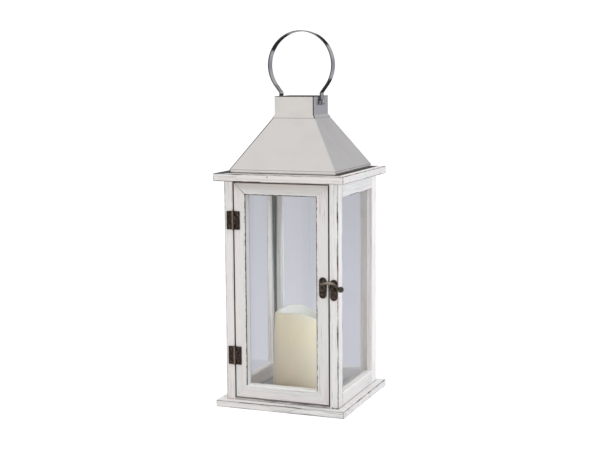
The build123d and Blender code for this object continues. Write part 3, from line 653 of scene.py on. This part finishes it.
def dress_all():
    """Gives every piece its material."""
    for seed, (name, axis) in enumerate(WOOD.items(), 1):
        dress([name], whitewash(name, axis, seed))
    dress(("top_dowels", "door_splines"), plain_wood())
    dress(GLASS, glass())
    dress(["roof"], polished_sheet("roof", 1.0, roof_seam))
    dress(["chimney"], polished_sheet("chimney", -1.0, chimney_seam))
    dress(STRAP, chrome_strap())
    dress(ZINC, zinc())
    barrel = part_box("upper_hinge_door_leaf")[0].y + barrel_proud
    dress(HINGE_LEAVES, antique_bronze("hinge_bronze", 0.30, proud=barrel))
    dress(LATCH_PLATES, antique_bronze("plate_bronze", 0.60))
    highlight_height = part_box("latch_hook")[1].z - hook_highlight_reach
    dress(["latch_hook"], antique_bronze("hook_bronze", 0.45, highlight_height=highlight_height))
    dress(BRONZE_PINS, antique_bronze("worn_bronze", 0.80))
    dress(["candle_shell"], ivory_wax())
    flame = moulded("clear_flame", (0.92, 0.88, 0.78), 0.25, Transmission_Weight=0.6)
    dress(["candle_flame_tip"], flame)
    dress(["candle_led"], moulded("led_lens", (0.95, 0.90, 0.75), 0.15, Transmission_Weight=0.5))
    dress(["candle_circuit_board"], moulded("circuit_board", (0.02, 0.12, 0.05), 0.4))
    ivory = moulded("ivory_plastic", (0.62, 0.54, 0.41), 0.45)
    dress(["candle_battery_box", "candle_battery_cover"], ivory)
    dress(["candle_batteries"], moulded("cell_can", (0.07, 0.08, 0.10), 0.35, Metallic=0.6))
    dress(["candle_switch"], moulded("black_plastic", (0.02, 0.02, 0.02), 0.4))


# ---------------------------------------------------------------- studio
def pale_floor():
    """A pale disc under the lantern. It only throws light back up, and isn't seen itself."""
    mesh = bpy.data.meshes.new("studio_floor")
    corners = 96
    angles = [2 * math.pi * i / corners for i in range(corners)]
    ring = [(floor_radius * math.cos(a), floor_radius * math.sin(a), 0.0) for a in angles]
    mesh.from_pydata(ring, [], [list(range(corners))])
    floor = bpy.data.objects.new("studio_floor", mesh)
    bpy.context.scene.collection.objects.link(floor)
    graph = Graph("studio_floor")
    shader = graph.principled(Base_Color=(0.93, 0.93, 0.93), Roughness=0.8)
    floor.data.materials.append(graph.finish(shader))
    floor.visible_transmission = False
    floor.visible_glossy = False
    floor.visible_camera = False


def ramp_stops(ramp, stops):
    """Gives a colour ramp its stops: each is a height from -1 to 1 and a grey or a colour."""
    elements = ramp.color_ramp.elements
    while len(elements) < len(stops):
        elements.new(0.5)
    for element, (height, colour) in zip(elements, stops):
        element.position = (height + 1) / 2
        element.color = (*colour, 1.0)


def studio_light():
    """A soft studio round the lantern. The camera itself sees plain white behind it."""
    graph = Graph("studio_world", bpy.data.worlds)
    way = graph.add("ShaderNodeTexCoord").outputs["Generated"]
    direction = graph.split(way)
    height = graph.math("MULTIPLY_ADD", direction["Z"], 0.5, 0.5)
    front = graph.add("ShaderNodeValToRGB")
    ramp_stops(front, front_stops)
    back = graph.add("ShaderNodeValToRGB")
    ramp_stops(back, back_stops)
    graph.feed(front.inputs[0], height)
    graph.feed(back.inputs[0], height)
    behind = graph.ramp(direction["Y"], -0.25, 0.35)
    colour = graph.mix(behind, front.outputs[0], back.outputs[0])
    for flag_x, flag_y, flag_z, inner, outer in dark_flags:
        away = graph.vector("SUBTRACT", way, (flag_x, flag_y, flag_z))
        spread = graph.ramp(graph.vector("LENGTH", away), inner, outer, 1.0, 0.0)
        colour = graph.mix(spread, colour, flag_colour)
    studio = graph.add("ShaderNodeBackground")
    graph.feed(studio.inputs["Color"], colour)
    white = graph.add("ShaderNodeBackground")
    graph.feed(white.inputs["Color"], (1.0, 1.0, 1.0))
    graph.feed(white.inputs["Strength"], backdrop_strength)
    path = graph.add("ShaderNodeLightPath")
    mixed = graph.add("ShaderNodeMixShader")
    graph.feed(mixed.inputs[0], path.outputs["Is Camera Ray"])
    graph.feed(mixed.inputs[1], studio.outputs[0])
    graph.feed(mixed.inputs[2], white.outputs[0])
    graph.feed(graph.add("ShaderNodeOutputWorld").inputs["Surface"], mixed.outputs[0])
    bpy.context.scene.world = graph.block


def soft_box(name, place, aim, size, power, colour):
    """A large soft lamp that points at a place on the lantern."""
    light = bpy.data.lights.new(name, "AREA")
    light.shape = "RECTANGLE"
    light.size, light.size_y = size
    light.energy = power
    light.color = colour
    lamp = bpy.data.objects.new(name, light)
    bpy.context.scene.collection.objects.link(lamp)
    lamp.location = place
    lamp.rotation_euler = (Vector(aim) - Vector(place)).to_track_quat("-Z", "Y").to_euler()
    lamp.visible_glossy = False


def studio_camera():
    """The camera, in front on the right, about three lantern heights away and level with the ring."""
    yaw, pitch, roll = camera_yaw, camera_pitch, camera_roll
    ahead = math.cos(pitch)
    forward = Vector((-math.sin(yaw) * ahead, math.cos(yaw) * ahead, -math.sin(pitch)))
    level = Vector((math.cos(yaw), math.sin(yaw), 0.0))
    up = level.cross(forward)
    right_axis = math.cos(roll) * level + math.sin(roll) * up
    up_axis = -math.sin(roll) * level + math.cos(roll) * up
    turn = Matrix((right_axis, up_axis, -forward)).transposed()
    data = bpy.data.cameras.new("camera")
    data.lens = camera_lens
    data.sensor_width = sensor_width
    data.clip_end = 30.0
    camera = bpy.data.objects.new("camera", data)
    camera.matrix_world = Matrix.Translation(camera_place) @ turn.to_4x4()
    bpy.context.scene.collection.objects.link(camera)
    bpy.context.scene.camera = camera


# ---------------------------------------------------------------- the scene
studio_camera()
pale_floor()
studio_light()
soft_box("key_light", (-0.35, -0.70, 2.2), lantern_middle, (1.2, 0.7), 7.0, (1.0, 0.985, 0.975))
soft_box("fill_light", (0.1, -2.4, 0.30), lantern_middle, (1.6, 0.5), 3.5, (1.0, 0.99, 0.98))
soft_box("side_light", (1.9, -0.6, 0.80), lantern_middle, (1.0, 1.0), 12.8, (0.83, 0.905, 1.0))
soft_box("top_light", (0.2, 0.3, 2.4), (0.0, 0.0, 0.0), (2.2, 2.2), 18.0, (1.0, 1.0, 1.0))
dress_all()
bpy.context.scene.view_settings.view_transform = "Standard"
